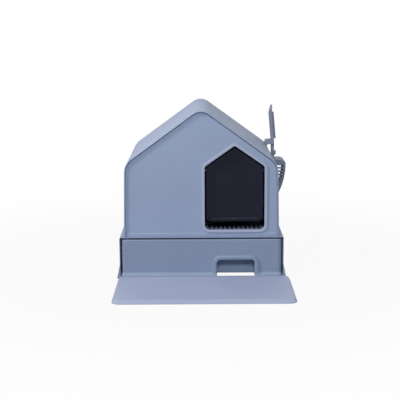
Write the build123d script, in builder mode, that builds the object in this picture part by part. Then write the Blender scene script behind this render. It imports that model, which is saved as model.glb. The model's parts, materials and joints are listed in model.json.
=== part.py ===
"""Drawer litter box shaped like a house.

A low base with a deck stands on the floor. A hood with a gable roof sits on the deck, with a
flap in its entrance. The litter drawer slides forward out of the base, over a loose step mat,
and the scoop hangs in a forked hook on the shoulder of the roof.

Millimetres. X runs to the right as seen from the front, Y to the back and Z up. The origin is
the middle of the base's footprint, on the floor.
"""
from build123d import *
from math import atan, atan2, cos, degrees, radians, sin, tan
import os

os.makedirs("parts", exist_ok=True)

# ---------------------------------------------------------------- base
base_width = 450.0
base_depth = 440.0
base_height = 117.0
base_wall = 2.5
base_corner = 16.0          # plan radius of the two back corners
flare_out = 8.0             # how far the foot stands out beyond the walls
flare_height = 40.0
deck_thick = 3.0
deck_edge_round = 6.0
deck_open_side = 35.0       # from the base's side to the opening over the drawer
deck_open_front = 92.0      # from the drawer's face to the opening
deck_open_back = 34.0       # from the base's back to the opening
deck_open_corner = 30.0
deck_lip = 6.0              # turned-down edge round the opening
deck_lip_thick = 2.0
wall_edge_bevel = 6.0       # inner bevel that thins the walls' front edges
wall_edge_thick = 0.7
rail_gap = 1.0              # stiffening rail under the deck's front edge, above the drawer
rail_thick = 2.0
rail_setback = 10.0
locator_height = 8.0        # ribs that locate the hood on the deck
locator_thick = 2.0
locator_gap = 0.5
locator_end = 24.0          # from the end of a locating rib to the hood's corner
runner_inset = 35.0         # from the base's side to a runner's inner face
runner_top = 7.7
runner_skin = 2.5
guide_setback = 4.0         # behind the front of the pan
foot_web = 3.0              # web that closes the flared foot at the front
foot_web_in = 1.0           # its inner edge, outside the wall's inner face
guide_height = 8.0
guide_thick = 2.0
tie_width = 44.0            # floor strip that joins the runners
tie_thick = 4.0

# ---------------------------------------------------------------- drawer
face_gap = 0.1              # between flat faces that are screwed together
slide_gap = 0.3             # pan above the runners
side_gap = 1.5              # pan beside the guides
pan_side_room = 17.0        # from the base's side to the pan's foot
pan_back_room = 18.0        # from the base's back to the pan's foot
pan_headroom = 14.0         # from the pan's rim to the top of the deck
pan_wall = 2.5
pan_draft = 3.6             # degrees, on the sides and the back
pan_corner = 24.0
pan_foot_round = 6.0
pan_floor_round = 4.0
pan_rim = 4.5
front_side_room = 4.8       # from the base's side to the drawer front's end
front_headroom = 7.5        # from the drawer's face to the top of the deck
front_wall = 3.0
front_corner = 11.0
front_edge_round = 3.0
fascia_depth = 37.9         # from the drawer's face to the pan
lip_out = 9.0               # flared lip along the foot of the drawer's face
lip_edge = 0.9
lip_top = 17.0
grip_inset = 131.3          # from the base's side to the pocket's middle
grip_half = 51.75
grip_top = 52.0
grip_corner = 11.0
grip_rim = 11.8             # width of the raised arch
grip_rim_out = 5.0
grip_rim_round = 3.5
grip_bevel = 2.5
pocket_depth = 30.0
pocket_wall = 2.5
boss_radius = 4.5
drawer_screw_inset = 30.0   # from the pan's foot
drawer_screw_foot = 22.0    # above the pan's foot
drawer_screw_rim = 17.0     # below its rim

# ---------------------------------------------------------------- hood
hood_setback = 3.0          # behind the drawer's face
hood_back_ledge = 15.0      # deck left free behind the hood
hood_side_ledge = 12.65     # deck left free beside it
hood_lean_in = 3.6          # how far the eave stands in from the foot
hood_eave_rise = 201.0      # from the deck to where wall and roof would meet
roof_pitch_angle = 36.0     # degrees
hood_eave_round = 48.0
hood_apex_round = 39.0
hood_wall = 3.0
hood_edge_round = 1.2
seat_gap = 0.2              # hood above the deck
panel_inset = 4.8           # panels behind the shell's edge
panel_thick = 3.0
panel_gap = 2.2             # between panel and shell
panel_band = 8.5            # plinth along the panel's foot
panel_band_out = 1.0
panel_band_bevel = 0.8
flange_width = 13.0
flange_thick = 3.0
flange_bore = 4.3           # holes in the flanges that take the panels' bosses
panel_boss = 4.0
panel_boss_length = 2.8
wall_screw_rises = (48.0, 168.0)        # above the deck
roof_screw_shares = (0.3, 0.82)
panel_rib_thick = 2.0
panel_rib_deep = 4.0
panel_rib_pitch = 96.0
panel_ribs = 3
panel_rib_low_rise = 25.0   # above the deck
panel_rib_high_rise = 196.0

# ---------------------------------------------------------------- entrance and flap
entrance_inset = 121.35     # from the hood's foot to the entrance's middle
entrance_half = 81.75
sill_rise = 17.0            # above the deck, as the next two
entrance_eave_rise = 192.0
entrance_apex_rise = 249.0
entrance_foot_round = 15.0
entrance_eave_round = 12.0
entrance_apex_round = 8.0
rim_width = 7.4
rim_out = 2.8
rim_round = 1.2
sleeve_thick = 2.5
sleeve_depth = 15.0         # behind the panel's face
sill_depth = 5.0
sleeve_foot_rise = 36.0     # above the deck; below it only the sill is left of the sleeve
sleeve_gap = 0.2            # sleeve in the panel's hole
flap_gap = 4.25
flap_thick = 3.0
flap_recess = 10.0          # behind the panel's face
flap_foot_rise = 40.0       # above the deck, as the pivot
flap_bead = 8.0
flap_bead_out = 1.5
flap_edge = 0.6
pivot_rise = 180.0
pin_radius = 2.0
pin_grip = 11.0             # length of the pin inside the flap's hub
pin_head = 3.5
pin_head_thick = 1.5
pin_clearance = 0.05
hub_radius = 4.5
hub_length = 14.0
hub_gap = 0.3
ear_thick = 4.25
ear_half = 10.0
ear_back = 6.0              # behind the pivot

# ---------------------------------------------------------------- tread
tread_width = 176.0
tread_depth = 74.0
tread_rise = 15.0           # above the deck
tread_wall = 2.4
tread_gap = 0.4
tread_rib_high = 2.5
tread_rib_wide = 5.0
tread_pitch = 12.4
tread_ribs = 13
tread_slot_wide = 6.0
tread_corner = 4.0
tread_slot_end = 1.5        # from a slot's end to the collar
window_width = 152.0
window_setback = 5.0        # window's edges behind the pan's wall and inside the tread
collar_thick = 2.0
collar_drop = 5.0

# ---------------------------------------------------------------- screws
screw_radius = 1.5
screw_head = 3.4
screw_head_thick = 2.0
screw_head_taper = 20.0
panel_screw_head = 5.6
screw_fit = 0.02            # shank in its own pilot hole
pilot_room = 0.5            # pilot holes are deeper than the screws reach
screw_clearance = 0.25
drawer_screw_bite = 12.0
panel_screw_bite = 4.6
hook_screw_bite = 9.0

# ---------------------------------------------------------------- scoop and hook
scoop_inset = 35.0          # from the hood's back to the scoop's middle
neck_half = 11.0
neck_out = 2.85             # from the hood's foot to the neck's inner face
neck_thick = 9.0
handle_half = 15.0
handle_bend_in = 7.0        # how far the handle leans towards the roof
handle_bend_up = 81.9       # above the shoulder that rests on the fork, as the next two
handle_tip_in = 1.2
handle_tip_up = 105.9
handle_tip_thick = 4.0
handle_tip_round = 13.0
handle_bend_round = 30.0
pad_thick = 5.4             # raised grip along the handle's outer side
pad_half = 9.0
pad_top_up = 83.9
shoulder_rise = 3.2         # from the handle's shoulder to the foot of the grip
nub_low_down = 48.1         # below that shoulder, as the basket's heights
nub_high_down = 34.6
nub_half = 6.0
nub_out = 6.0
nub_round = 3.6
basket_half = 37.0
basket_top_down = 59.1
basket_shoulder_out = 30.6  # from the neck's inner face
basket_side_out = 43.7
basket_side_down = 78.1
basket_bulge = 0.72         # how full the curve is between the basket's top and its side
basket_belly_out = 35.0
basket_belly_down = 131.1
basket_tip_out = 3.0
basket_tip_down = 194.6
basket_wall = 2.6
basket_round = 6.0
basket_rim = 6.0            # solid rail along the basket's open edge
basket_edge = 8.0           # solid rail between the basket's sides and its back
slot_count = 10
slot_pitch = 10.3
slot_high = 5.4
slot_first = 20.4           # from the basket's top to the first slot's middle
rail_wide = 9.0             # rail along the middle of the basket's back
fork_thick = 13.5
fork_half = 17.5
fork_end_out = 8.9          # from the neck's inner face
fork_slot_in = 8.1
fork_clearance = 0.6
fork_tip_round = 2.0
fork_rest_gap = 0.3
hook_root_in = 16.5
hook_foot_in = 21.0
hook_heel_in = 11.5
hook_sink = 12.0            # how far the root reaches down before it is cut to the roof
hook_heel_shift = 4.0       # how far the heel runs inward on that way down
hook_foot_shift = 6.0       # the foot, likewise
hook_angle = 35.6           # degrees; where the screws meet the shoulder's curve
hook_screw_drop = 3.04      # from the fork's underside to that place
hook_screw_y = 14.2
hook_seat_gap = 0.05
hook_head_seat = 0.2        # keeps the flat screw heads clear of the curved wall

# ---------------------------------------------------------------- step mat
mat_width = 469.6
mat_depth = 252.5
mat_thick = 7.6
mat_offset = 5.9            # to the right of the box's middle
mat_gap = 2.0               # in front of the base; the drawer's lip overhangs it
mat_corner = 22.0
mat_edge = 1.2
mat_front_bevel = 17.0
mat_side_bevel = 3.5
mat_skin = 2.5
mat_rib = 2.0
mat_groove_length = 74.0
mat_groove_width = 3.0
mat_groove_deep = 1.4
mat_groove_shift = -5.0
mat_rib_columns = 5
mat_rib_rows = 3

# ---------------------------------------------------------------- for cuts and joins
cut_past = 1.0              # how far a cut runs past the face that it opens
overlap = 1.0               # how far two shapes of one piece run into each other
near = 0.01                 # reach of a search for corners at a known height

# ---------------------------------------------------------------- places that follow from them
front_y = -base_depth / 2
back_y = base_depth / 2
deck_low = base_height - deck_thick
pan_low = runner_top + slide_gap
pan_foot_half = base_width / 2 - pan_side_room
pan_length = base_depth - fascia_depth - face_gap - pan_back_room
front_width = base_width - 2 * front_side_room
drawer_screw_x = pan_foot_half - drawer_screw_inset
grip_x = base_width / 2 - grip_inset
runner_inner = base_width / 2 - runner_inset
deck_open_half = base_width / 2 - deck_open_side
hood_depth = base_depth - hood_setback - hood_back_ledge
hood_foot_half = base_width / 2 - hood_side_ledge
hood_eave_half = hood_foot_half - hood_lean_in
hood_eave_z = base_height + hood_eave_rise
hood_apex_z = hood_eave_z + hood_eave_half * tan(radians(roof_pitch_angle))
panel_rib_low = base_height + panel_rib_low_rise
panel_rib_high = base_height + panel_rib_high_rise
sill_z = base_height + sill_rise
entrance_eave_z = base_height + entrance_eave_rise
entrance_apex_z = base_height + entrance_apex_rise
sleeve_foot_z = base_height + sleeve_foot_rise
flap_foot_z = base_height + flap_foot_rise
pivot_z = base_height + pivot_rise
tread_top = base_height + tread_rise
entrance_x = hood_foot_half - entrance_inset
pan_height = base_height - pan_headroom - pan_low
pan_top = pan_low + pan_height
front_top = base_height - front_headroom
pan_front_y = front_y + fascia_depth + face_gap
hood_low = base_height + seat_gap
hood_front_y = front_y + hood_setback
hood_back_y = hood_front_y + hood_depth
front_panel_y = hood_front_y + panel_inset
back_panel_y = hood_back_y - panel_inset
flap_front_y = front_panel_y + flap_recess
pivot_y = flap_front_y + hub_radius
scoop_y = hood_back_y - scoop_inset
neck_inner_x = hood_foot_half + neck_out
handle_top_x = neck_inner_x - handle_bend_in
handle_tip_x = neck_inner_x - handle_tip_in
roof_angle = radians(roof_pitch_angle)
wall_lean = (hood_foot_half - hood_eave_half) / (hood_eave_z - hood_low)
flare_angle = degrees(atan2(flare_out, flare_height))

# centre of the shoulder's curve, from the two lines that it rounds
wall_angle = atan(wall_lean)
wall_reach = (
    hood_eave_half * cos(wall_angle) + hood_eave_z * sin(wall_angle) - hood_eave_round
)
roof_reach = hood_apex_z * cos(roof_angle) - hood_eave_round
solve = cos(roof_angle) * cos(wall_angle) - sin(roof_angle) * sin(wall_angle)
curve_x = (wall_reach * cos(roof_angle) - roof_reach * sin(wall_angle)) / solve
curve_z = (roof_reach * cos(wall_angle) - wall_reach * sin(roof_angle)) / solve

# the hook stands on that curve, and the scoop hangs on the hook by its shoulder
fork_low_z = curve_z + hood_eave_round * sin(radians(hook_angle)) + hook_screw_drop
fork_top_z = fork_low_z + fork_thick
shoulder_z = fork_top_z + fork_rest_gap
handle_bend_z = shoulder_z + handle_bend_up
handle_tip_z = shoulder_z + handle_tip_up
pad_top_z = shoulder_z + pad_top_up
nub_low_z = shoulder_z - nub_low_down
nub_high_z = shoulder_z - nub_high_down
basket_top_z = shoulder_z - basket_top_down
basket_side_z = shoulder_z - basket_side_down
basket_belly_z = shoulder_z - basket_belly_down
basket_tip_z = shoulder_z - basket_tip_down

hood_size = (
    0.0, hood_foot_half, hood_eave_half, hood_low, hood_eave_z, hood_apex_z,
    0.0, hood_eave_round, hood_apex_round,
)
entrance_size = (
    entrance_x, entrance_half, entrance_half, sill_z, entrance_eave_z, entrance_apex_z,
    entrance_foot_round, entrance_eave_round, entrance_apex_round,
)


def facing(y):
    """Sketch plane at y that faces the front; its own axes are X and Z."""
    return Plane.XZ.offset(-y)


def sideways(x):
    """Sketch plane at x that faces right; its own axes are Y and Z."""
    return Plane.YZ.offset(x)


def house_face(size, grow=0.0, foot_at=None):
    """House outline, grown outward by grow; foot_at cuts or lengthens its walls to that height."""
    centre, foot_half, eave_half, foot_z, eave_z, apex_z, foot_r, eave_r, apex_r = size
    lean = (foot_half - eave_half) / (eave_z - foot_z)
    low = foot_z if foot_at is None else foot_at + grow
    low_half = foot_half + lean * (foot_z - low)
    with BuildSketch() as face:
        with BuildLine():
            Polyline(
                (centre - low_half, low),
                (centre + low_half, low),
                (centre + eave_half, eave_z),
                (centre, apex_z),
                (centre - eave_half, eave_z),
                close=True,
            )
        make_face()
        fillet(face.vertices().group_by(Axis.Y)[-1], apex_r)
        fillet(face.vertices().filter_by_position(Axis.Y, eave_z - near, eave_z + near), eave_r)
        if foot_r:
            fillet(face.vertices().group_by(Axis.Y)[0], foot_r)
        if grow:
            offset(amount=grow, kind=Kind.INTERSECTION)
    return face.sketch


def base_block(inset, height):
    """What the base's outline holds, moved in by inset: flared at the foot, straight above."""
    run_on = 4 * base_corner    # the block runs on past the open front, where it is cut off
    with BuildPart() as block:
        with BuildSketch():
            with Locations((0, -run_on / 2)):
                RectangleRounded(
                    base_width + 2 * (flare_out - inset),
                    base_depth + run_on + 2 * (flare_out - inset),
                    base_corner + flare_out - inset,
                )
        extrude(amount=flare_height, taper=flare_angle)
        extrude(block.faces().sort_by(Axis.Z)[-1], amount=height - flare_height)
    return block.part


def pan_section(inset, height):
    """Plan of the pan at a height above its foot; only the sides and the back have draft."""
    spread = height * tan(radians(pan_draft))
    half = pan_foot_half + spread - inset
    front = pan_front_y + inset
    back = pan_front_y + pan_length + spread - inset
    with BuildSketch() as plan:
        with Locations((0, (front + back) / 2)):
            RectangleRounded(2 * half, back - front, pan_corner - inset)
    return plan.sketch


def pan_block(inset, low, high):
    """Drafted block between two heights above the pan's foot."""
    with BuildPart() as block:
        for height in (low, high):
            with BuildSketch(Plane.XY.offset(pan_low + height)):
                add(pan_section(inset, height))
        loft()
    return block.part


def fascia_plan(out, corner, side=0.0):
    """Plan of the drawer front, its face moved forward by out and its ends in by side."""
    back = front_y + fascia_depth
    with BuildSketch() as plan:
        with Locations((0, (front_y - out + back) / 2)):
            Rectangle(front_width - 2 * side, back - front_y + out)
        fillet(plan.vertices().group_by(Axis.Y)[0], corner)
    return plan.sketch


def lip_block(inset):
    """Flared foot of the drawer front; with an inset, the hollow behind it."""
    corner = front_corner - inset / 2
    with BuildPart() as block:
        with BuildSketch(Plane.XY.offset(pan_low + lip_edge - inset)):
            add(fascia_plan(lip_out - inset, corner, inset))
        with BuildSketch(Plane.XY.offset(lip_top)):
            add(fascia_plan(-inset, corner, inset))
        loft(ruled=True)
    return block.part


def arch_face(grow):
    """Arch round the finger pocket, open at the foot."""
    low = pan_low
    with BuildSketch() as face:
        with Locations((grip_x, (low + grip_top + grow) / 2)):
            Rectangle(2 * (grip_half + grow), grip_top + grow - low)
        fillet(face.vertices().group_by(Axis.Y)[-1], grip_corner + grow)
    return face.sketch


def arch_block():
    """Raised arch on the drawer's face, rounded along its legs and its top."""
    with BuildPart() as block:
        with BuildSketch(facing(front_y - grip_rim_out)):
            add(arch_face(grip_rim))
        extrude(amount=-(grip_rim_out + front_wall))
        front_edges = block.faces().sort_by(Axis.Y)[0].edges()
        fillet(front_edges.sort_by(Axis.Z)[1:], grip_rim_round)
    return block.part


def flange_points():
    """Places of the panel screws, on the middle line of the shell's inner flanges."""
    deep = hood_wall + flange_width / 2
    rise = hood_apex_z - hood_eave_z
    points = []
    for side in (-1, 1):
        for above_deck in wall_screw_rises:
            height = base_height + above_deck
            half = hood_foot_half - wall_lean * (height - hood_low)
            points.append((side * (half - deep), height))
        for share in roof_screw_shares:
            along = hood_eave_half * (1 - share) - deep * sin(roof_angle)
            points.append((side * along, hood_eave_z + rise * share - deep * cos(roof_angle)))
    return points


def basket_outline(inset):
    """Side view of the scoop's basket, drawn in by inset but still open towards the hood."""
    open_x = neck_inner_x - 2 * inset
    shoulder_x = neck_inner_x + basket_shoulder_out
    side_x = neck_inner_x + basket_side_out - inset
    top_z = basket_top_z - inset
    tip = (neck_inner_x + basket_tip_out - inset / 2, basket_tip_z + inset)
    with BuildSketch() as outline:
        with BuildLine():
            Line((open_x, top_z), (shoulder_x, top_z))
            ThreePointArc(
                (shoulder_x, top_z),
                (
                    shoulder_x + basket_bulge * (side_x - shoulder_x),
                    basket_side_z + basket_bulge * (top_z - basket_side_z),
                ),
                (side_x, basket_side_z),
            )
            ThreePointArc(
                (side_x, basket_side_z),
                (neck_inner_x + basket_belly_out - inset, basket_belly_z),
                tip,
            )
            Polyline(tip, (open_x, tip[1]), (open_x, top_z))
        make_face()
    return outline.sketch


def basket_block(inset):
    """Rounded block in the basket's outline; with an inset, its hollow."""
    with BuildPart() as block:
        with BuildSketch(facing(scoop_y)):
            add(basket_outline(inset))
        extrude(amount=basket_half - inset, both=True)
        rims = block.edges().filter_by(GeomType.CIRCLE).group_by(Axis.Y)
        fillet(rims[0] + rims[-1], basket_round - inset)
    return block.part


def slot_slabs(width, middle=0.0):
    """Sketch of one basket slot in plan, from the rail at its open edge outwards."""
    reach = 2 * basket_side_out
    with BuildSketch() as plan:
        with Locations((neck_inner_x + basket_rim + reach / 2, scoop_y)):
            Rectangle(reach, width)
            if middle:
                Rectangle(reach, middle, mode=Mode.SUBTRACT)
    return plan.sketch


# ---------------------------------------------------------------- base frame
base_outer = base_block(0.0, base_height)
base_inner = base_block(base_wall, deck_low)
opening_length = base_depth - deck_open_front - deck_open_back
opening_y = front_y + deck_open_front + opening_length / 2
guide_x = pan_foot_half + guide_height * tan(radians(pan_draft)) + side_gap
shelf_reach = base_width / 2 - base_wall / 2 + flare_out * (1 - runner_top / flare_height)
web_in = base_width / 2 - base_wall + foot_web_in
runner_front_y = front_y + foot_web
runner_back_y = back_y - base_corner
locator_x = hood_foot_half - hood_wall - locator_gap - locator_thick / 2
tread_y = front_panel_y + panel_thick + tread_gap + tread_depth / 2
window_front_y = pan_front_y + pan_wall + window_setback
window_back_y = tread_y + tread_depth / 2 - window_setback
window_depth = window_back_y - window_front_y
window_y = (window_front_y + window_back_y) / 2
locator_back_y = back_panel_y - panel_thick - flange_thick - locator_gap - locator_thick
locator_front_y = front_panel_y + panel_thick + locator_gap + locator_thick / 2
locator_left = locator_end - locator_x
locator_right = entrance_x - tread_width / 2 - locator_thick

with BuildPart() as web_block:
    add(base_outer)
    with BuildSketch():
        with Locations((0, front_y + foot_web / 2)):
            with GridLocations(base_width + 2 * flare_out, 0, 2, 1):
                Rectangle(base_width + 2 * flare_out - 2 * web_in, foot_web)
    extrude(amount=flare_height, mode=Mode.INTERSECT)
foot_webs = web_block.part

with BuildPart() as base_frame:
    add(base_outer)
    fillet(base_frame.faces().sort_by(Axis.Z)[-1].edges(), deck_edge_round)
    add(base_inner, mode=Mode.SUBTRACT)
    split(bisect_by=facing(front_y), keep=Keep.BOTTOM)
    # opening over the drawer, with its turned-down lip, and the window under the tread
    with BuildSketch(Plane.XY.offset(deck_low)):
        with Locations((0, opening_y)):
            RectangleRounded(
                2 * (deck_open_half + deck_lip_thick),
                opening_length + 2 * deck_lip_thick,
                deck_open_corner + deck_lip_thick,
            )
    extrude(amount=-deck_lip)
    with BuildSketch(Plane.XY.offset(deck_low - deck_lip)):
        with Locations((0, opening_y)):
            RectangleRounded(2 * deck_open_half, opening_length, deck_open_corner)
        with Locations((entrance_x, window_y)):
            Rectangle(window_width, window_depth)
    extrude(amount=deck_lip + deck_thick, mode=Mode.SUBTRACT)
    # stiffening rail under the deck's front edge
    with BuildSketch(Plane.XY.offset(deck_low)):
        with Locations((0, front_y + rail_setback)):
            Rectangle(base_width - base_wall, rail_thick)
    extrude(amount=-(deck_low - front_top - rail_gap))
    # ribs that locate the hood
    with BuildSketch(Plane.XY.offset(base_height)):
        with Locations((-locator_x, 0), (locator_x, 0)):
            Rectangle(locator_thick, 2 * (locator_back_y - locator_end))
        with Locations((0, locator_back_y)):
            Rectangle(2 * (locator_x - locator_end), locator_thick)
        with Locations(((locator_left + locator_right) / 2, locator_front_y)):
            Rectangle(locator_right - locator_left, locator_thick)
    extrude(amount=locator_height)
    # runners, one each side, with their guide lips, and the tie strip between them
    with BuildSketch(facing(runner_front_y)):
        with BuildLine():
            Polyline(
                (runner_inner, 0),
                (runner_inner + runner_skin, 0),
                (runner_inner + runner_skin, runner_top - runner_skin),
                (shelf_reach, runner_top - runner_skin),
                (shelf_reach, runner_top),
                (runner_inner, runner_top),
                close=True,
            )
        make_face()
        mirror(about=Plane.YZ)
    extrude(amount=runner_front_y - runner_back_y)
    with BuildSketch(Plane.XY.offset(runner_top)):
        with Locations((0, (pan_front_y + guide_setback + runner_back_y) / 2)):
            with GridLocations(2 * guide_x + guide_thick, 0, 2, 1):
                Rectangle(guide_thick, runner_back_y - pan_front_y - guide_setback)
    extrude(amount=guide_height)
    with BuildSketch(Plane.XY):
        Rectangle(2 * runner_inner + runner_skin, tie_width)
    extrude(amount=tie_thick)
    # the walls' front edges are bevelled inside, so only a thin line of them faces forward
    with BuildSketch(Plane.XY):
        for side in (-1, 1):
            inner = side * (base_width / 2 - base_wall)
            with BuildLine():
                Polyline(
                    (inner - side, front_y - cut_past),
                    (inner + side * (base_wall - wall_edge_thick), front_y - cut_past),
                    (inner + side * (base_wall - wall_edge_thick), front_y),
                    (inner, front_y + wall_edge_bevel),
                    (inner - side, front_y + wall_edge_bevel),
                    close=True,
                )
            make_face()
    extrude(amount=deck_low, mode=Mode.SUBTRACT)

    # webs that close the flared foot at the front
    add(foot_webs)

# ---------------------------------------------------------------- tread behind the sill
tread_plate = tread_top - tread_rib_high
collar_half_x = window_width / 2 - tread_gap
collar_half_y = window_depth / 2 - tread_gap

with BuildPart() as tread_grate:
    with BuildSketch(Plane.XY.offset(base_height)):
        with Locations((entrance_x, tread_y)):
            Rectangle(tread_width, tread_depth)
    extrude(amount=tread_plate - base_height)
    fillet(tread_grate.edges().filter_by(Axis.Z), tread_corner)
    with BuildSketch(Plane.XY.offset(base_height)):
        with Locations((entrance_x, tread_y)):
            Rectangle(tread_width - 2 * tread_wall, tread_depth - 2 * tread_wall)
    extrude(amount=tread_plate - base_height - tread_wall, mode=Mode.SUBTRACT)
    # collar that drops into the deck's window
    with BuildSketch(Plane.XY.offset(base_height - collar_drop)):
        with Locations((entrance_x, window_y)):
            Rectangle(2 * collar_half_x, 2 * collar_half_y)
            Rectangle(
                2 * (collar_half_x - collar_thick),
                2 * (collar_half_y - collar_thick),
                mode=Mode.SUBTRACT,
            )
    extrude(amount=tread_plate - base_height + collar_drop - tread_wall / 2)
    # ribs to step on, with a slot between each two
    with BuildSketch(Plane.XY.offset(tread_plate)):
        with Locations((entrance_x, tread_y)):
            with GridLocations(tread_pitch, 0, tread_ribs, 1):
                Rectangle(tread_rib_wide, tread_depth - 2 * tread_wall)
    extrude(amount=tread_rib_high)
    with BuildSketch(Plane.XY.offset(tread_plate)):
        with Locations((entrance_x, window_y)):
            with GridLocations(tread_pitch, 0, tread_ribs - 1, 1):
                Rectangle(tread_slot_wide, 2 * (collar_half_y - collar_thick - tread_slot_end))
    extrude(amount=-tread_wall, mode=Mode.SUBTRACT)

# ---------------------------------------------------------------- drawer
pan_spread = pan_height * tan(radians(pan_draft))
pan_outer = pan_block(0.0, 0.0, pan_height)
pan_hollow = pan_block(pan_wall, pan_wall, pan_height + cut_past)
screw_places = [
    (side * drawer_screw_x, height)
    for side in (-1, 1)
    for height in (pan_low + drawer_screw_foot, pan_top - drawer_screw_rim)
]

with BuildPart() as drawer_pan:
    add(pan_outer)
    fillet(drawer_pan.faces().sort_by(Axis.Z)[0].edges(), pan_foot_round)
    with BuildSketch(Plane.XY.offset(pan_top - pan_wall)):
        rim_front = pan_front_y + pan_wall / 2
        rim_back = pan_front_y + pan_length + pan_spread + pan_rim
        with Locations((0, (rim_front + rim_back) / 2)):
            RectangleRounded(
                2 * (pan_foot_half + pan_spread + pan_rim),
                rim_back - rim_front,
                pan_corner + pan_rim,
            )
    extrude(amount=pan_wall)
    add(pan_hollow, mode=Mode.SUBTRACT)
    pan_floor = drawer_pan.faces().filter_by(Axis.Z).group_by(Axis.Z)[1]
    fillet(pan_floor.edges(), pan_floor_round)
    with BuildSketch(facing(pan_front_y)):
        with Locations(*screw_places):
            Circle(screw_radius + screw_clearance)
    extrude(amount=-pan_wall, mode=Mode.SUBTRACT)

raised_arch = arch_block()
lip_outer = lip_block(0.0)
lip_hollow = lip_block(front_wall)

with BuildPart() as drawer_front:
    with BuildSketch(Plane.XY.offset(pan_low)):
        add(fascia_plan(0.0, front_corner))
    extrude(amount=front_top - pan_low)
    fillet(drawer_front.faces().sort_by(Axis.Z)[-1].edges().group_by(Axis.Y)[0], front_edge_round)
    with BuildSketch(Plane.XY.offset(pan_low)):
        add(fascia_plan(lip_out, front_corner))
    extrude(amount=lip_edge)
    add(lip_outer)
    # hollow from behind and below
    with BuildSketch(Plane.XY.offset(pan_low)):
        add(fascia_plan(-front_wall, front_corner - front_wall, front_wall))
    extrude(amount=front_top - pan_low - front_wall, mode=Mode.SUBTRACT)
    add(lip_hollow, mode=Mode.SUBTRACT)
    # raised arch and the walls of the finger pocket
    add(raised_arch)
    with BuildSketch(facing(front_y)):
        add(arch_face(pocket_wall))
    extrude(amount=-(pocket_depth + pocket_wall))
    with BuildSketch(facing(front_y - 2 * lip_out)):
        add(arch_face(0.0))
    extrude(amount=-(2 * lip_out + pocket_depth), mode=Mode.SUBTRACT)
    # the arch's inner edge is bevelled
    with BuildSketch(facing(front_y - grip_rim_out)):
        add(arch_face(grip_bevel))
    with BuildSketch(facing(front_y - grip_rim_out + grip_bevel)):
        add(arch_face(0.0))
    loft(ruled=True, mode=Mode.SUBTRACT)
    # bosses that meet the pan, with their pilot holes
    with BuildSketch(facing(front_y + front_wall / 2)):
        with Locations(*screw_places):
            Circle(boss_radius)
    extrude(amount=-(pan_front_y - front_y - front_wall / 2))
    with BuildSketch(facing(pan_front_y)):
        with Locations(*screw_places):
            Circle(screw_radius + screw_fit)
    extrude(amount=drawer_screw_bite + pilot_room, mode=Mode.SUBTRACT)

with BuildPart() as drawer_screws:
    head_y = pan_front_y + pan_wall
    with BuildSketch(facing(head_y)):
        with Locations(*screw_places):
            Circle(screw_radius)
    extrude(amount=pan_wall + drawer_screw_bite)
    with BuildSketch(facing(head_y)):
        with Locations(*screw_places):
            Circle(screw_head)
    extrude(amount=-screw_head_thick, taper=screw_head_taper)

# ---------------------------------------------------------------- hood shell
flange_places = flange_points()
with BuildSketch() as flange_ring:
    add(house_face(hood_size, grow=-hood_wall / 2, foot_at=hood_low))
    add(house_face(hood_size, -(hood_wall + flange_width), hood_low - cut_past), mode=Mode.SUBTRACT)
    with Locations(*flange_places):
        Circle(flange_bore, mode=Mode.SUBTRACT)

hook_normal = (cos(radians(hook_angle)), 0, sin(radians(hook_angle)))
hook_seat = hood_eave_round - hood_wall - hook_head_seat
hook_planes = [
    Plane(
        origin=(
            curve_x + hook_seat * hook_normal[0],
            scoop_y + side * hook_screw_y,
            curve_z + hook_seat * hook_normal[2],
        ),
        x_dir=(0, 1, 0),
        z_dir=hook_normal,
    )
    for side in (-1, 1)
]

with BuildPart() as hood_shell:
    with BuildSketch(facing(hood_front_y)):
        add(house_face(hood_size))
    extrude(amount=-hood_depth)
    for end in (0, -1):
        end_edges = hood_shell.faces().filter_by(Plane.XZ).sort_by(Axis.Y)[end].edges()
        fillet(end_edges.sort_by(Axis.Z)[1:], hood_edge_round)
    with BuildSketch(facing(hood_front_y)):
        add(house_face(hood_size, -hood_wall, hood_low - cut_past))
    extrude(amount=-hood_depth, mode=Mode.SUBTRACT)
    with BuildSketch(facing(front_panel_y + panel_thick)):
        add(flange_ring.sketch)
    extrude(amount=-flange_thick)
    with BuildSketch(facing(back_panel_y - panel_thick)):
        add(flange_ring.sketch)
    extrude(amount=flange_thick)
    with BuildSketch(*hook_planes):
        Circle(screw_radius + screw_clearance)
    extrude(amount=2 * hood_wall, both=True, mode=Mode.SUBTRACT)

# ---------------------------------------------------------------- hood panels
panel_outline = house_face(hood_size, -(hood_wall + panel_gap), hood_low)

with BuildPart() as front_panel:
    with BuildSketch(facing(front_panel_y)):
        add(panel_outline)
    extrude(amount=-panel_thick)
    with BuildSketch(facing(front_panel_y)):
        with Locations((0, hood_low + panel_band / 2)):
            Rectangle(2 * (hood_foot_half - hood_wall - 2 * panel_gap), panel_band)
    extrude(amount=panel_band_out)
    band_face = front_panel.faces().filter_by(Plane.XZ).sort_by(Axis.Y)[0]
    chamfer(band_face.edges().group_by(Axis.Z)[-1], panel_band_bevel)
    with BuildSketch(facing(front_panel_y + panel_thick)):
        with Locations(*flange_places):
            Circle(panel_boss)
    extrude(amount=-panel_boss_length)
    with BuildSketch(facing(front_panel_y)):
        add(house_face(entrance_size, sleeve_thick + sleeve_gap))
    extrude(amount=-panel_thick, mode=Mode.SUBTRACT)
    with BuildSketch(facing(front_panel_y + panel_thick + panel_boss_length)):
        with Locations(*flange_places):
            Circle(screw_radius + screw_fit)
    extrude(amount=panel_screw_bite, mode=Mode.SUBTRACT)

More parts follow.
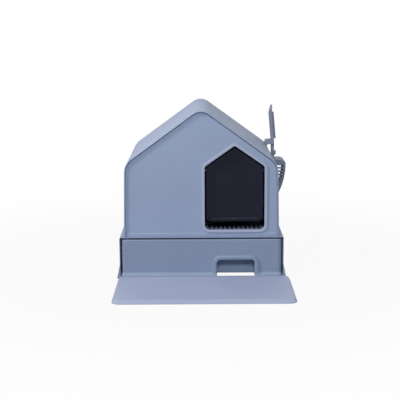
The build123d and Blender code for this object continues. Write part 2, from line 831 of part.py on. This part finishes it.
with BuildPart() as rear_panel:
    with BuildSketch(facing(back_panel_y)):
        add(panel_outline)
    extrude(amount=panel_thick)
    with BuildSketch(facing(back_panel_y)):
        with Locations((0, hood_low + panel_band / 2)):
            Rectangle(2 * (hood_foot_half - hood_wall - 2 * panel_gap), panel_band)
    extrude(amount=-panel_band_out)
    # stiffening ribs on the inside, between the flanges
    with BuildSketch(facing(back_panel_y - panel_thick)):
        with Locations((0, (panel_rib_low + panel_rib_high) / 2)):
            with GridLocations(panel_rib_pitch, 0, panel_ribs, 1):
                Rectangle(panel_rib_thick, panel_rib_high - panel_rib_low)
    extrude(amount=panel_rib_deep)
    with BuildSketch(facing(back_panel_y - panel_thick)):
        with Locations(*flange_places):
            Circle(panel_boss)
    extrude(amount=panel_boss_length)
    with BuildSketch(facing(back_panel_y - panel_thick - panel_boss_length)):
        with Locations(*flange_places):
            Circle(screw_radius + screw_fit)
    extrude(amount=-panel_screw_bite, mode=Mode.SUBTRACT)

with BuildPart() as panel_screws:
    for panel_y, inward in ((front_panel_y, -1), (back_panel_y, 1)):
        seat_y = panel_y - inward * (panel_thick + flange_thick)
        reach = panel_screw_bite - pilot_room + flange_thick - panel_boss_length
        with BuildSketch(facing(seat_y)):
            with Locations(*flange_places):
                Circle(screw_radius)
        extrude(amount=-inward * reach)
        with BuildSketch(facing(seat_y)):
            with Locations(*flange_places):
                Circle(panel_screw_head)
        extrude(amount=inward * screw_head_thick)

# ---------------------------------------------------------------- entrance rim
ear_inner = entrance_half
ear_outer = entrance_half + ear_thick

with BuildPart() as entrance_rim:
    with BuildSketch(facing(front_panel_y)):
        add(house_face(entrance_size, rim_width))
        add(house_face(entrance_size), mode=Mode.SUBTRACT)
    extrude(amount=rim_out)
    fillet(entrance_rim.faces().filter_by(Plane.XZ).sort_by(Axis.Y)[0].edges(), rim_round)
    with BuildSketch(facing(front_panel_y)):
        add(house_face(entrance_size, sleeve_thick))
        add(house_face(entrance_size), mode=Mode.SUBTRACT)
    extrude(amount=-sleeve_depth)
    with BuildSketch(facing(front_panel_y + sill_depth)):
        with Locations((entrance_x, sill_z)):
            Rectangle(2 * ear_outer, 2 * (sleeve_foot_z - sill_z))
    extrude(amount=-sleeve_depth, mode=Mode.SUBTRACT)
    # ears for the flap's pins
    ear_front_y = front_panel_y + panel_thick + face_gap
    for side in (-1, 1):
        with BuildSketch(facing(ear_front_y)):
            with Locations((entrance_x + side * (ear_inner + ear_outer) / 2, pivot_z)):
                Rectangle(ear_thick, 2 * ear_half)
        extrude(amount=-(pivot_y + ear_back - ear_front_y))
    with BuildSketch(sideways(entrance_x)):
        with Locations((pivot_y, pivot_z)):
            Circle(pin_radius + pin_clearance)
    extrude(amount=ear_outer + cut_past, both=True, mode=Mode.SUBTRACT)

# ---------------------------------------------------------------- entrance flap and its pins
with BuildPart() as door_flap:
    with BuildSketch(facing(flap_front_y)):
        add(house_face(entrance_size, -flap_gap, flap_foot_z))
    extrude(amount=-flap_thick)
    flap_face = door_flap.faces().filter_by(Plane.XZ).sort_by(Axis.Y)
    chamfer(flap_face[0].edges(), flap_edge)
    with BuildSketch(facing(flap_front_y)):
        with Locations((entrance_x, flap_foot_z + flap_bead / 2)):
            Rectangle(2 * (entrance_half - flap_gap - entrance_foot_round), flap_bead)
    extrude(amount=flap_bead_out)
    for side in (-1, 1):
        with BuildSketch(sideways(entrance_x + side * (entrance_half - hub_gap))):
            with Locations((pivot_y, pivot_z)):
                Circle(hub_radius)
        extrude(amount=-side * hub_length)
        with BuildSketch(sideways(entrance_x + side * (entrance_half - hub_gap))):
            with Locations((pivot_y, pivot_z)):
                Circle(pin_radius + screw_fit)
        extrude(amount=-side * (pin_grip + pilot_room), mode=Mode.SUBTRACT)


def hinge_pin(side):
    """Headed pin through an ear, pressed into the flap's hub."""
    shoulder = entrance_x + side * ear_outer
    with BuildPart() as pin:
        with BuildSketch(sideways(shoulder)):
            with Locations((pivot_y, pivot_z)):
                Circle(pin_radius)
        extrude(amount=-side * (ear_thick + hub_gap + pin_grip))
        with BuildSketch(sideways(shoulder + side * hub_gap)):
            with Locations((pivot_y, pivot_z)):
                Circle(pin_radius)
        extrude(amount=-side * hub_gap)
        with BuildSketch(sideways(shoulder + side * hub_gap)):
            with Locations((pivot_y, pivot_z)):
                Circle(pin_head)
        extrude(amount=side * pin_head_thick)
    return pin


hinge_pin_left = hinge_pin(-1)
hinge_pin_right = hinge_pin(1)

# ---------------------------------------------------------------- scoop
basket = basket_block(0.0)
basket_hollow = basket_block(basket_wall)
slot_levels = [
    Plane.XY.offset(basket_top_z - slot_first - row * slot_pitch - slot_high / 2)
    for row in range(slot_count)
]

with BuildPart() as side_slot_block:
    with BuildSketch(facing(scoop_y)):
        add(basket_outline(basket_edge))
    extrude(amount=2 * basket_half, both=True)
    with BuildSketch(*slot_levels):
        add(slot_slabs(4 * basket_half))
    extrude(amount=slot_high, mode=Mode.INTERSECT)
side_slots = side_slot_block.part

with BuildPart() as back_slot_block:
    with BuildSketch(*slot_levels):
        add(slot_slabs(2 * (basket_half - basket_edge), rail_wide))
    extrude(amount=slot_high)
back_slots = back_slot_block.part

with BuildPart() as scoop:
    # handle and neck: the side view, cut to the width seen from the side of the box
    with BuildSketch(facing(scoop_y)) as handle_side:
        with BuildLine():
            Polyline(
                (neck_inner_x + overlap, basket_top_z - overlap),
                (neck_inner_x, shoulder_z),
                (handle_top_x, handle_bend_z),
                (handle_tip_x, handle_tip_z),
                (handle_tip_x + handle_tip_thick, handle_tip_z),
                (handle_top_x + neck_thick, handle_bend_z),
                (neck_inner_x + neck_thick, shoulder_z),
                (neck_inner_x + neck_thick + overlap, basket_top_z - overlap),
                close=True,
            )
        make_face()
        fillet(
            handle_side.vertices().filter_by_position(
                Axis.Y, handle_bend_z - near, handle_bend_z + near
            ),
            handle_bend_round,
        )
    extrude(amount=handle_half, both=True)
    with BuildSketch(sideways(neck_inner_x)) as handle_front:
        with BuildLine():
            Polyline(
                (scoop_y - neck_half, basket_top_z - 2 * overlap),
                (scoop_y + neck_half, basket_top_z - 2 * overlap),
                (scoop_y + neck_half, shoulder_z),
                (scoop_y + handle_half, shoulder_z),
                (scoop_y + handle_half, handle_tip_z),
                (scoop_y - handle_half, handle_tip_z),
                (scoop_y - handle_half, shoulder_z),
                (scoop_y - neck_half, shoulder_z),
                close=True,
            )
        make_face()
        fillet(handle_front.vertices().group_by(Axis.Y)[-1], handle_tip_round)
    extrude(amount=4 * neck_thick, both=True, mode=Mode.INTERSECT)
    # raised grip on the outer side, and the thumb nub on the neck
    with BuildSketch(facing(scoop_y)):
        with BuildLine():
            Polyline(
                (handle_top_x + neck_thick - overlap, pad_top_z),
                (handle_top_x + neck_thick + pad_thick, pad_top_z),
                (neck_inner_x + neck_thick + pad_thick, shoulder_z + shoulder_rise),
                (neck_inner_x + neck_thick - overlap, shoulder_z + shoulder_rise),
                close=True,
            )
        make_face()
    extrude(amount=pad_half, both=True)
    with BuildSketch(sideways(neck_inner_x + neck_thick)):
        with Locations((scoop_y, (nub_low_z + nub_high_z) / 2)):
            RectangleRounded(2 * nub_half, nub_high_z - nub_low_z, nub_round)
    extrude(amount=nub_out)
    add(basket)
    add(basket_hollow, mode=Mode.SUBTRACT)
    # slots through the basket's sides, and through its back on both sides of a rail
    add(side_slots, mode=Mode.SUBTRACT)
    add(back_slots, mode=Mode.SUBTRACT)

# ---------------------------------------------------------------- hook
hook_foot_x = neck_inner_x - hook_foot_in
hook_heel_x = neck_inner_x - hook_heel_in
fork_end_x = neck_inner_x + fork_end_out
fork_slot_x = neck_inner_x - fork_slot_in

with BuildPart() as scoop_hook:
    with BuildSketch(facing(scoop_y)):
        with BuildLine():
            Polyline(
                (hook_foot_x, fork_low_z),
                (neck_inner_x - hook_root_in, fork_top_z),
                (fork_end_x, fork_top_z),
                (fork_end_x, fork_low_z),
                (hook_heel_x, fork_low_z),
                (hook_heel_x - hook_heel_shift, fork_low_z - hook_sink),
                (hook_foot_x - hook_foot_shift, fork_low_z - hook_sink),
                close=True,
            )
        make_face()
        add(house_face(hood_size, hook_seat_gap, hood_low), mode=Mode.SUBTRACT)
    extrude(amount=fork_half, both=True)
    with BuildSketch(Plane.XY.offset(fork_low_z)):
        with Locations(((fork_slot_x + fork_end_x + cut_past) / 2, scoop_y)):
            Rectangle(fork_end_x + cut_past - fork_slot_x, 2 * (neck_half + fork_clearance))
    extrude(amount=fork_top_z - fork_low_z, mode=Mode.SUBTRACT)
    fillet(scoop_hook.edges().filter_by(Axis.Z).sort_by(Axis.X)[-4:], fork_tip_round)
    with BuildSketch(*hook_planes):
        Circle(screw_radius + screw_fit)
    extrude(amount=hood_wall + hook_screw_bite + pilot_room, mode=Mode.SUBTRACT)

with BuildPart() as hook_screws:
    with BuildSketch(*hook_planes):
        Circle(screw_radius)
    extrude(amount=hood_wall + hook_screw_bite)
    with BuildSketch(*hook_planes):
        Circle(screw_head)
    extrude(amount=-screw_head_thick)

# ---------------------------------------------------------------- step mat
mat_back_y = front_y - mat_gap
mat_front_y = mat_back_y - mat_depth


def mat_plan(side, front, corner):
    """Plan of the mat, its sides moved in by side and its front by front."""
    low = mat_front_y + front
    with BuildSketch() as plan:
        with Locations((mat_offset, (low + mat_back_y) / 2)):
            RectangleRounded(mat_width - 2 * side, mat_back_y - low, corner)
    return plan.sketch


with BuildPart() as step_mat:
    with BuildSketch():
        add(mat_plan(0.0, 0.0, mat_corner))
    extrude(amount=mat_edge)
    with BuildSketch(Plane.XY.offset(mat_edge)):
        add(mat_plan(0.0, 0.0, mat_corner))
    with BuildSketch(Plane.XY.offset(mat_thick)):
        add(mat_plan(mat_side_bevel, mat_front_bevel, mat_corner - mat_side_bevel))
    loft(ruled=True)
    # hollow underneath, with crossed ribs
    rib_span_x = (mat_width - 2 * mat_front_bevel) / (mat_rib_columns + 1)
    rib_span_y = (mat_depth - 2 * mat_front_bevel) / (mat_rib_rows + 1)
    with BuildSketch():
        with Locations((mat_offset, (mat_front_y + mat_back_y) / 2)):
            with GridLocations(rib_span_x, rib_span_y, mat_rib_columns + 1, mat_rib_rows + 1):
                Rectangle(rib_span_x - mat_rib, rib_span_y - mat_rib)
    extrude(amount=mat_thick - mat_skin, mode=Mode.SUBTRACT)
    # finger groove along the front crease
    with BuildSketch(Plane.XY.offset(mat_thick)):
        groove_y = mat_front_y + mat_front_bevel + mat_groove_width
        with Locations((mat_offset + mat_groove_shift, groove_y)):
            SlotOverall(mat_groove_length, mat_groove_width)
    extrude(amount=-mat_groove_deep, mode=Mode.SUBTRACT)

# ---------------------------------------------------------------- files
pieces = {
    "base_frame": base_frame,
    "tread_grate": tread_grate,
    "drawer_pan": drawer_pan,
    "drawer_front": drawer_front,
    "drawer_screws": drawer_screws,
    "hood_shell": hood_shell,
    "front_panel": front_panel,
    "rear_panel": rear_panel,
    "panel_screws": panel_screws,
    "entrance_rim": entrance_rim,
    "door_flap": door_flap,
    "hinge_pin_left": hinge_pin_left,
    "hinge_pin_right": hinge_pin_right,
    "scoop_hook": scoop_hook,
    "hook_screws": hook_screws,
    "scoop": scoop,
    "step_mat": step_mat,
}
for label, piece in pieces.items():
    piece.part.label = label
    export_step(piece.part, f"parts/{label}.step")
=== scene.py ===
"""Looks of the drawer litter box: moulded plastic, smoked flap, plated screws, light and camera.

Metres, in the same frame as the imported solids: X to the right, Y to the back, Z up.
"""
import json
import math

import bpy
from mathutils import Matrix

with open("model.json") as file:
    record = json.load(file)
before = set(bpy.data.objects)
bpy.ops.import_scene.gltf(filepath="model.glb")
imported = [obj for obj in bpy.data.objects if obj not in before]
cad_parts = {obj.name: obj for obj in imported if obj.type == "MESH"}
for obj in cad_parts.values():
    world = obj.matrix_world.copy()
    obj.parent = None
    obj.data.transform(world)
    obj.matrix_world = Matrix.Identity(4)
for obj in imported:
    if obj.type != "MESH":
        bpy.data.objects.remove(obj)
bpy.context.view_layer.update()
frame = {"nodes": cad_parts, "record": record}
nodes = frame["nodes"]
white = (1.0, 1.0, 1.0)


# ---------------------------------------------------------------- node trees
class Sum:
    """A varying value in a node tree. Arithmetic on it adds Math nodes."""

    def __init__(self, wiring, socket):
        self.wiring = wiring
        self.socket = socket

    def math(self, operation, first, second):
        return self.wiring.node("ShaderNodeMath", {"operation": operation}, {0: first, 1: second})

    def __add__(self, other):
        return self.math("ADD", self, other)

    def __sub__(self, other):
        return self.math("SUBTRACT", self, other)

    def __rsub__(self, other):
        return self.math("SUBTRACT", other, self)

    def __mul__(self, other):
        return self.math("MULTIPLY", self, other)

    __radd__ = __add__
    __rmul__ = __mul__

    def larger(self, other):
        return self.math("MAXIMUM", self, other)

    def between(self, low, high):
        """0 at low and 1 at high, held at those ends."""
        return self.wiring.node(
            "ShaderNodeMapRange", {"clamp": True}, {0: self, 1: low, 2: high, 3: 0.0, 4: 1.0}
        )


class Wiring:
    """A node tree in the making: nodes are added by one method."""

    def __init__(self, tree):
        self.tree = tree

    def node(self, kind, settings=None, sockets=None, out=0):
        """Adds a node, sets it up, wires its sockets and returns the output out."""
        made = self.tree.nodes.new(kind)
        for name, value in (settings or {}).items():
            setattr(made, name, value)
        for key, value in (sockets or {}).items():
            self.wire(made.inputs[key], value)
        return Sum(self, made.outputs[out])

    def wire(self, socket, value):
        """Links a varying value to a socket, or sets a constant on it."""
        if isinstance(value, Sum):
            self.tree.links.new(value.socket, socket)
        elif hasattr(socket.default_value, "__len__") and len(value) < len(socket.default_value):
            socket.default_value = (*value, 1.0)
        else:
            socket.default_value = value

    def switch(self, share, first, second, end):
        """Ends the tree in a mix of two shaders."""
        both = self.node("ShaderNodeMixShader", {}, {0: share, 1: first, 2: second})
        self.wire(self.tree.nodes[end].inputs["Surface"], both)

    def ray(self, kind):
        """1 for rays of this kind, 0 for the rest."""
        return self.node("ShaderNodeLightPath", out=f"Is {kind} Ray")


class Finish(Wiring):
    """A material in the making."""

    def __init__(self, name):
        self.material = bpy.data.materials.new(name)
        self.material.use_nodes = True
        super().__init__(self.material.node_tree)
        self.shader = self.tree.nodes["Principled BSDF"]

    def shade(self, **sockets):
        """Sets or wires the shader's own sockets; an underscore stands for a space."""
        for name, value in sockets.items():
            self.wire(self.shader.inputs[name.replace("_", " ")], value)

    def place(self):
        """Position on the object, in metres."""
        return self.node("ShaderNodeTexCoord", out="Object")

    def vector_math(self, operation, *terms):
        sockets = dict(enumerate(terms))
        return self.node("ShaderNodeVectorMath", {"operation": operation}, sockets, "Value")

    def noise(self, scale, detail=2.0, roughness=0.5):
        return self.node(
            "ShaderNodeTexNoise",
            {},
            {"Vector": self.place(), "Scale": scale, "Detail": detail, "Roughness": roughness},
        )

    def mix(self, share, first, second):
        return self.node("ShaderNodeMix", {"data_type": "RGBA"}, {0: share, 6: first, 7: second}, out=2)

    def rounded(self, radius):
        """Normal with the sharp edges rounded by radius."""
        return self.node("ShaderNodeBevel", {"samples": 6}, {"Radius": radius})

    def edge(self, radius):
        """1 on a sharp edge, 0 on a flat face."""
        flat = self.node("ShaderNodeNewGeometry", out="Normal")
        soft = self.rounded(radius)
        same = self.vector_math("DOT_PRODUCT", flat, soft)
        return (1.0 - same).between(edge_from, edge_full)

    def bump(self, height, depth, normal):
        return self.node(
            "ShaderNodeBump",
            {},
            {"Strength": 1.0, "Distance": depth, "Height": height, "Normal": normal},
        )


# ---------------------------------------------------------------- finishes
# Scales of marks are per metre; depths, radii and distances are in metres.
edge_from, edge_full = 0.02, 0.25      # turn of the rounded normal at which an edge begins and is full

flow_scale = 5.0             # wide, soft marks that the flow of the plastic leaves
flow_low, flow_high = 0.3, 0.7
flow_depth = 0.035           # share by which they are darker or lighter
smear_scale = 38.0           # marks of handling
smear_rough = 0.10
grit_scale = 2600.0          # spark-eroded grain of the mould
grit_rough = 0.05
plastic_edge = 0.0009        # radius of the moulded pieces' edges
plastic_index = 1.5
plastic_sheen = 0.25
rubbed_towards = 0.75        # grey that a handled edge pales towards
rubbed_share = 0.18          # how far it gets there
rubbed_least = 0.35          # wear where the fewest hands have been
rubbed_smooth = 0.10

smoked_edge = 0.0008
smoked_rough = 0.16
smoked_index = 1.49
smoked_sheen = 0.2
wipe_scale = 14.0            # wipe marks on the flap
wipe_low, wipe_high = 0.35, 0.75
wipe_rough = 0.12
wipe_depth = 0.00004
dust_scale = 420.0
dust_rough = 0.04

turned_scale = 700.0         # turning marks on the screws and pins
turned_rough = 0.18
turned_depth = 0.00001
turned_edge = 0.0002
plated_rough = 0.28


def moulded(name, colour, rough=0.5, grain=0.00002):
    """Injection-moulded plastic: spark-eroded grain, faint flow marks, paler handled edges."""
    finish = Finish(name)
    flow = finish.noise(flow_scale, detail=3.0)
    grit = finish.noise(grit_scale)
    smear = finish.noise(smear_scale, detail=4.0, roughness=0.6)
    edge_wear_and_highlight = finish.edge(plastic_edge)
    dark = tuple((1 - flow_depth) * c for c in colour)
    light = tuple((1 + flow_depth) * c for c in colour)
    rubbed = tuple(c + rubbed_share * (rubbed_towards - c) for c in colour)
    body = finish.mix(flow.between(flow_low, flow_high), dark, light)
    handled = edge_wear_and_highlight * (rubbed_least + (1 - rubbed_least) * smear)
    uneven = smear_rough * (smear - 0.5) + grit_rough * (grit - 0.5)
    finish.shade(
        Base_Color=finish.mix(handled, body, rubbed),
        Roughness=rough + uneven - rubbed_smooth * edge_wear_and_highlight,
        IOR=plastic_index,
        Specular_IOR_Level=plastic_sheen,
        Normal=finish.bump(grit, grain, finish.rounded(plastic_edge)),
    )
    return finish.material


def smoked(name, colour, painted_highlight_colour):
    """Glossy smoked plastic with faint wipe marks and a painted highlight along its edges."""
    finish = Finish(name)
    wipe = finish.noise(wipe_scale, detail=5.0, roughness=0.6)
    dust = finish.noise(dust_scale)
    # painted highlight: the flap's edges are painted in the paler second colour
    edge_wear_and_highlight = finish.edge(smoked_edge)
    wiped = wipe_rough * wipe.between(wipe_low, wipe_high)
    finish.shade(
        Base_Color=finish.mix(edge_wear_and_highlight, colour, painted_highlight_colour),
        Roughness=smoked_rough + wiped + dust_rough * dust,
        IOR=smoked_index,
        Specular_IOR_Level=smoked_sheen,
        Normal=finish.bump(wipe, wipe_depth, finish.rounded(smoked_edge)),
    )
    return finish.material


def plated(name, dull, bright):
    """Zinc-plated steel with turning marks."""
    finish = Finish(name)
    mottle = finish.noise(turned_scale, detail=3.0)
    finish.shade(
        Base_Color=finish.mix(mottle, dull, bright),
        Metallic=1.0,
        Roughness=plated_rough + turned_rough * mottle,
        Normal=finish.bump(mottle, turned_depth, finish.rounded(turned_edge)),
    )
    return finish.material


finishes = {
    "hood": moulded("hood_plastic", (0.278, 0.360, 0.526)),
    # base: the hood's plastic painted darker, as painted shade for the shaded base walls
    "base": moulded("base_plastic_painted_shade", (0.240, 0.306, 0.448)),
    # drawer: the hood's plastic painted darker, as painted shade for the light falling off towards the
    # floor
    "drawer": moulded("drawer_plastic_painted_shade", (0.221, 0.287, 0.414)),
    "rim": moulded("rim_plastic", (0.355, 0.412, 0.565)),
    "mat": moulded("mat_plastic", (0.320, 0.384, 0.545), rough=0.55, grain=0.00005),
    "scoop": moulded("scoop_plastic", (0.218, 0.252, 0.352), rough=0.42),
    "tread": moulded("tread_plastic", (0.290, 0.352, 0.520), rough=0.6, grain=0.00004),
    # the flap's second colour is the painted highlight along its edges
    "smoked": smoked("smoked_plastic", (0.0122, 0.0150, 0.0282), (0.062, 0.070, 0.100)),
    "steel": plated("plated_steel", (0.46, 0.47, 0.48), (0.62, 0.63, 0.64)),
}
slots = {part["node"]: part["material_slot"] for part in frame["record"]["subparts"]}
for name, node in nodes.items():
    for slot in node.material_slots:
        slot.material = finishes[slots[name]]

# ---------------------------------------------------------------- floor
floor_reach = 9.0
floor_drop = 0.0002          # below the feet, so that no two faces share a plane
floor_colour = (0.24, 0.24, 0.24)
shadow_share = 0.06          # of the plain floor that the camera sees round the object
shadow_near, shadow_far = 0.6, 1.3


def pale_floor():
    """White to the camera, but for a faint shadow, and a plain floor for everything else."""
    finish = Finish("pale_floor")
    seen = finish.ray("Camera").larger(finish.ray("Transmission"))
    away = finish.vector_math("LENGTH", finish.place())
    finish.shade(Base_Color=floor_colour, Roughness=0.9)
    lit = finish.node("ShaderNodeEmission", {}, {"Color": white, "Strength": 1.0})
    share = seen * (1 - shadow_share + shadow_share * away.between(shadow_near, shadow_far))
    finish.switch(share, Sum(finish, finish.shader.outputs[0]), lit, "Material Output")
    return finish.material


corners = [(-1, -1), (1, -1), (1, 1), (-1, 1)]
mesh = bpy.data.meshes.new("floor")
mesh.from_pydata([(floor_reach * x, floor_reach * y, 0) for x, y in corners], [], [(0, 1, 2, 3)])
floor = bpy.data.objects.new("floor", mesh)
floor.location.z = -floor_drop
floor.data.materials.append(pale_floor())
bpy.context.collection.objects.link(floor)


# ---------------------------------------------------------------- light
def softbox(name, place, aim, size, power, tint):
    """Square area lamp at place, turned to aim."""
    data = bpy.data.lights.new(name, "AREA")
    data.size = size
    data.energy = power
    data.color = tint
    lamp = bpy.data.objects.new(name, data)
    lamp.location = place
    turn = (lamp.location - type(lamp.location)(aim)).to_track_quat("Z", "Y")
    lamp.rotation_euler = turn.to_euler()
    bpy.context.collection.objects.link(lamp)


softbox("key", (-1.80, -0.95, 2.15), (0, -0.1, 0.25), 0.5, 54, (1.0, 0.87, 0.83))
softbox("back", (1.5, 1.9, 2.0), (0, 0.05, 0.3), 0.7, 4.5, (1.0, 0.92, 1.0))
softbox("front", (0.05, -2.7, 1.78), (0, 0, 0.2), 0.6, 43.5, white)

world_light = 0.16           # strength with which the white room lights the object
world = bpy.data.worlds.new("studio")
world.use_nodes = True
sky = Wiring(world.node_tree)
dim = sky.tree.nodes["Background"]
sky.wire(dim.inputs["Color"], white)
sky.wire(dim.inputs["Strength"], world_light)
bright = sky.node("ShaderNodeBackground", {}, {"Color": white, "Strength": 1.0})
mirrored = sky.ray("Camera").larger(sky.ray("Glossy"))
sky.switch(mirrored, Sum(sky, dim.outputs[0]), bright, "World Output")
bpy.context.scene.world = world

# ---------------------------------------------------------------- camera
pitch = math.radians(10.30)  # downwards
roll = math.radians(-0.33)   # the photograph is tilted by as much

eye = bpy.data.cameras.new("camera")
eye.sensor_fit = "HORIZONTAL"
eye.sensor_width = 36.0
eye.lens = 90.4
eye.clip_end = 50.0
camera = bpy.data.objects.new("camera", eye)
camera.location = (-0.0036, -2.904, 0.707)
camera.rotation_euler = (math.pi / 2 - pitch, -math.cos(pitch) * roll, math.sin(pitch) * roll)
bpy.context.collection.objects.link(camera)
bpy.context.scene.camera = camera
bpy.context.scene.view_settings.view_transform = "Standard"
